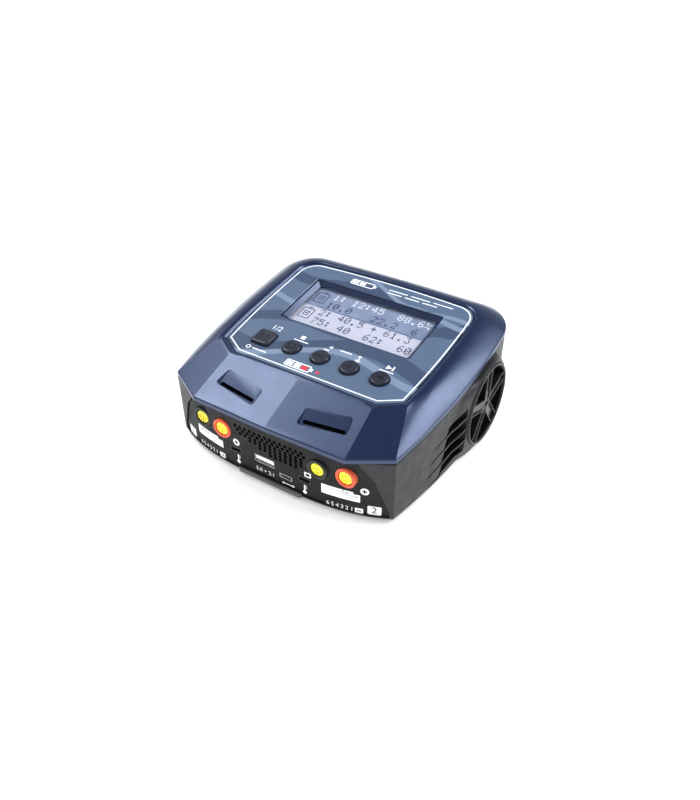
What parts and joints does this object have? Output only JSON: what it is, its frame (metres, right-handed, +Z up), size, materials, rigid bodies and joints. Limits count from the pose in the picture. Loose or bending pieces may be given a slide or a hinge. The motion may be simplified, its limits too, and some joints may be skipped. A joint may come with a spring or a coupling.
{
  "type": "balance battery charger",
  "caption": "Twin-channel balance charger: wedge case with tilted display face, push buttons, banana sockets, balance ports, round spoked side grilles and a fan.",
  "frame": {"origin": "centre of the footprint, on the surface that the four feet stand on", "axes": "+X to the right seen from the socket side, -Y towards the user (sockets), +Z up"},
  "size_m": [0.154, 0.1368, 0.063],
  "materials": {
    "cover_paint": "metallic navy paint on moulded plastic, fine sparkle",
    "case_plastic": "black moulded plastic, fine spark-eroded texture",
    "panel_plastic": "charcoal textured panel with white printed marks",
    "grille_plastic": "semi-gloss black",
    "overlay_film": "printed polycarbonate film, grey-blue waves, white border line",
    "button_plastic": "glossy dark navy",
    "clear_window": "clear polycarbonate lens",
    "lcd": "lavender-grey character display",
    "circuit_board": "green solder mask",
    "steel": "plated steel",
    "gold": "gold-plated brass",
    "red_plastic": "red nylon",
    "black_nylon": "black nylon",
    "white_nylon": "natural white nylon",
    "rubber": "matt black rubber",
    "ferrite": "dark grey ferrite",
    "winding": "enamelled copper under yellow tape",
    "aluminium": "extruded, plain",
    "capacitor_sleeve": "shrink sleeve"
  },
  "bodies": {
    "case": {"top_cover": "cover_paint", "base_shell": "case_plastic", "front_panel": "panel_plastic", "rear_panel": "panel_plastic", "overlay_panel": "overlay_film", "display_window": "clear_window", "lcd_glass": "lcd", "lcd_bezel": "steel", "display_board": "circuit_board", "main_board": "circuit_board", "fan_frame": "case_plastic", "mains_inlet": "black_nylon", "dc_inlet": "black_nylon", "usb_shell": "steel", "usb_tongue": "white_nylon", "micro_usb_shell": "steel", "transformer_core": "ferrite", "transformer_winding": "winding", "heat_sink": "aluminium", "mains_capacitor": "capacitor_sleeve", "output_inductor": "winding", "tact_switch_channel": "steel", "tact_switch_stop": "steel", "tact_switch_decrease": "steel", "tact_switch_increase": "steel", "tact_switch_start": "steel", "fan_grille_left": "grille_plastic", "grille_mesh_left": "grille_plastic", "foot_front_left": "rubber", "case_screw_front_left": "steel", "foot_rear_left": "rubber", "case_screw_rear_left": "steel", "fan_grille_right": "grille_plastic", "grille_mesh_right": "grille_plastic", "foot_front_right": "rubber", "case_screw_front_right": "steel", "foot_rear_right": "rubber", "case_screw_rear_right": "steel", "balance_header_a": "white_nylon", "temperature_socket_a": "black_nylon", "socket_insulator_a_negative": "black_nylon", "socket_contact_a_negative": "gold", "socket_insulator_a_positive": "red_plastic", "socket_contact_a_positive": "gold", "balance_header_b": "white_nylon", "temperature_socket_b": "black_nylon", "socket_insulator_b_negative": "black_nylon", "socket_contact_b_negative": "gold", "socket_insulator_b_positive": "red_plastic", "socket_contact_b_positive": "gold", "mains_pin_line": "steel", "mains_pin_neutral": "steel", "mains_pin_earth": "steel"},
    "channel_key": {"channel_button": "button_plastic"},
    "stop_key": {"stop_button": "button_plastic"},
    "decrease_key": {"decrease_button": "button_plastic"},
    "increase_key": {"increase_button": "button_plastic"},
    "start_key": {"start_button": "button_plastic"},
    "rotor": {"fan_rotor": "case_plastic"}
  },
  "joints": [
    {"name": "channel_press", "type": "slide", "parent": "case", "child": "channel_key", "axis": [0, 0.1351, -0.9908], "range_m": [0, 0.0006], "stiffness_N_per_m": 2500},
    {"name": "stop_press", "type": "slide", "parent": "case", "child": "stop_key", "axis": [0, 0.1351, -0.9908], "range_m": [0, 0.0006], "stiffness_N_per_m": 2500},
    {"name": "decrease_press", "type": "slide", "parent": "case", "child": "decrease_key", "axis": [0, 0.1351, -0.9908], "range_m": [0, 0.0006], "stiffness_N_per_m": 2500},
    {"name": "increase_press", "type": "slide", "parent": "case", "child": "increase_key", "axis": [0, 0.1351, -0.9908], "range_m": [0, 0.0006], "stiffness_N_per_m": 2500},
    {"name": "start_press", "type": "slide", "parent": "case", "child": "start_key", "axis": [0, 0.1351, -0.9908], "range_m": [0, 0.0006], "stiffness_N_per_m": 2500},
    {"name": "fan_spin", "type": "hinge", "parent": "case", "child": "rotor", "pos_m": [0.0634, 0.0255, 0.0247], "axis": [1, 0, 0], "continuous": true}
  ]
}
